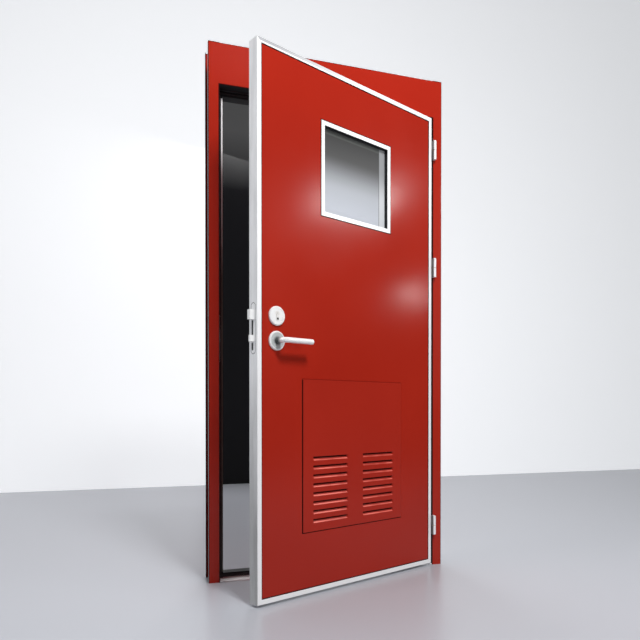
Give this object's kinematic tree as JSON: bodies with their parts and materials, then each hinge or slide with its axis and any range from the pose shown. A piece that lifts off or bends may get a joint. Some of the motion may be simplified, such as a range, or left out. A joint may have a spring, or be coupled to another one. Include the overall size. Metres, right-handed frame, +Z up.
{
  "type": "marine fire door",
  "caption": "Insulated steel ship's fire door, part open in its folded bulkhead frame, with a fire-glass window, mortise lock, lever handles and a louvred kick-out panel.",
  "frame": {"origin": "middle of the sill's underside, halfway through the frame's depth", "axes": "+Z up, +X to the hinge side, +Y away from the side that the leaf opens to"},
  "size_m": [1.049, 0.4899, 2.182],
  "materials": {
    "red_paint": "semi-gloss",
    "stainless": "fine brushed",
    "satin_handle_steel": "satin",
    "nickelled_brass": "satin nickel",
    "bolt_steel": "satin",
    "zinc_steel": "dull zinc",
    "aluminium_strip": "mill",
    "black_rubber": "matt",
    "swell_strip": "matt",
    "mineral_wool": "fibrous",
    "fire_glass": "polished"
  },
  "bodies": {
    "frame": {"frame_jamb_latch": "red_paint", "frame_jamb_hinge": "red_paint", "frame_head": "red_paint", "sill_base": "zinc_steel", "sill_tread": "stainless", "seal_carrier": "aluminium_strip", "frame_seal": "black_rubber", "intumescent_strips": "swell_strip", "strike_plate": "stainless", "strike_dust_box": "zinc_steel", "strike_screws": "stainless", "hinge_pins": "stainless", "hinge_washers": "stainless", "hinge_frame_screws": "stainless", "hinge_backings": "zinc_steel", "hinge_frame_half_lower": "stainless", "hinge_frame_half_middle": "stainless", "hinge_frame_half_upper": "stainless"},
    "leaf": {"leaf_skin_front": "red_paint", "leaf_skin_back": "red_paint", "leaf_core": "mineral_wool", "edge_trim_latch": "stainless", "edge_trim_hinge": "stainless", "edge_trim_top": "stainless", "edge_trim_bottom": "stainless", "window_trim_front": "stainless", "window_trim_back": "stainless", "window_gaskets": "black_rubber", "window_glass": "fire_glass", "window_liner": "zinc_steel", "panel_surround": "zinc_steel", "panel_clips": "zinc_steel", "lock_case": "zinc_steel", "lock_cover": "zinc_steel", "lock_faceplate": "stainless", "faceplate_screws": "stainless", "lever_rose_outside": "satin_handle_steel", "lever_rose_inside": "satin_handle_steel", "cylinder_rose_outside": "satin_handle_steel", "cylinder_rose_inside": "satin_handle_steel", "cylinder_body": "nickelled_brass", "hinge_leaf_screws": "stainless", "hinge_stiffeners": "zinc_steel", "hinge_leaf_half_lower": "stainless", "hinge_leaf_half_middle": "stainless", "hinge_leaf_half_upper": "stainless"},
    "levers": {"lever_outside": "satin_handle_steel", "lever_inside": "satin_handle_steel", "lever_spindle": "zinc_steel", "lock_follower": "zinc_steel"},
    "latch": {"latch_bolt": "bolt_steel"},
    "dead_bolt": {"dead_bolt": "bolt_steel"},
    "key_and_thumb_turn": {"key_plug": "nickelled_brass", "cylinder_cam": "nickelled_brass", "thumb_turn": "satin_handle_steel"},
    "escape_panel": {"panel_front_plate": "red_paint", "panel_back_plate": "red_paint", "panel_core": "mineral_wool"}
  },
  "joints": [
    {"name": "leaf_hinge", "type": "hinge", "parent": "frame", "child": "leaf", "pos_m": [0.483, -0.0594, 0.18], "axis": [0, 0, 1], "range_deg": [-22.9, 147]},
    {"name": "lever_turn", "type": "hinge", "parent": "leaf", "child": "levers", "pos_m": [-0.3355, -0.36781, 0.95], "axis": [-0.3891, 0.9212, 0], "range_deg": [0, 45], "stiffness_Nm_per_rad": 1.2, "springref_deg": -34.38},
    {"name": "latch_slide", "type": "slide", "parent": "leaf", "child": "latch", "axis": [0.9212, 0.3891, 0], "range_m": [0, 0.02]},
    {"name": "dead_bolt_slide", "type": "slide", "parent": "leaf", "child": "dead_bolt", "axis": [0.9212, 0.3891, 0], "range_m": [0, 0.02]},
    {"name": "thumb_turn", "type": "hinge", "parent": "leaf", "child": "key_and_thumb_turn", "pos_m": [-0.3355, -0.36781, 1.047], "axis": [-0.3891, 0.9212, 0], "range_deg": [0, 90]},
    {"name": "escape_panel_release", "type": "slide", "parent": "leaf", "child": "escape_panel", "axis": [0.3891, -0.9212, 0], "range_m": [0, 0.12]}
  ],
  "couplings": [
    {"joint": "latch_slide", "follows": "lever_turn", "m_per_rad": 0.025465},
    {"joint": "thumb_turn", "follows": "dead_bolt_slide", "rad_per_m": 78.54}
  ]
}
